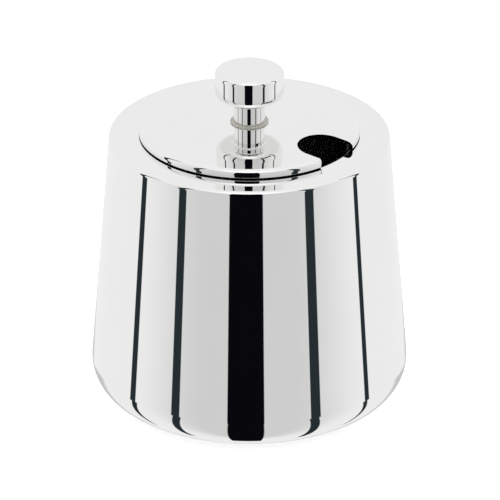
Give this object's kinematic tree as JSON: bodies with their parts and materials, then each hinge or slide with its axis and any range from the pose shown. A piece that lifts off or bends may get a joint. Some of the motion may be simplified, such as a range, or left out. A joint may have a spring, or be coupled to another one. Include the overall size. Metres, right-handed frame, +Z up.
{
  "type": "sugar bowl",
  "caption": "Tapered stainless sugar bowl with a flat shoulder and a lift-off domed lid, which has a turned knob and an open notch for a spoon.",
  "frame": {"origin": "centre of the standing face under the bowl, on the surface it stands on", "axes": "+Z up along the bowl's axis; the spoon notch opens to the front right, between +X and -Y"},
  "size_m": [0.0884, 0.0884, 0.0962],
  "materials": {
    "polished_steel": "mirror polished stainless steel",
    "inner_steel": "satin stainless steel, fine turned or drawn grain",
    "fastener_steel": "plain stainless fastener steel, slightly dull",
    "nylon": "translucent natural nylon"
  },
  "bodies": {
    "bowl": {"body_shell": "polished_steel", "base_pan": "polished_steel"},
    "lid": {"lid_disc": "polished_steel", "lid_locating_ring": "inner_steel", "knob": "polished_steel", "knob_washer": "nylon", "knob_screw": "fastener_steel", "knob_screw_washer": "fastener_steel"}
  },
  "joints": [
    {"name": "lid_lift", "type": "slide", "parent": "bowl", "child": "lid", "axis": [0, 0, 1], "range_m": [0, 0.045]}
  ]
}
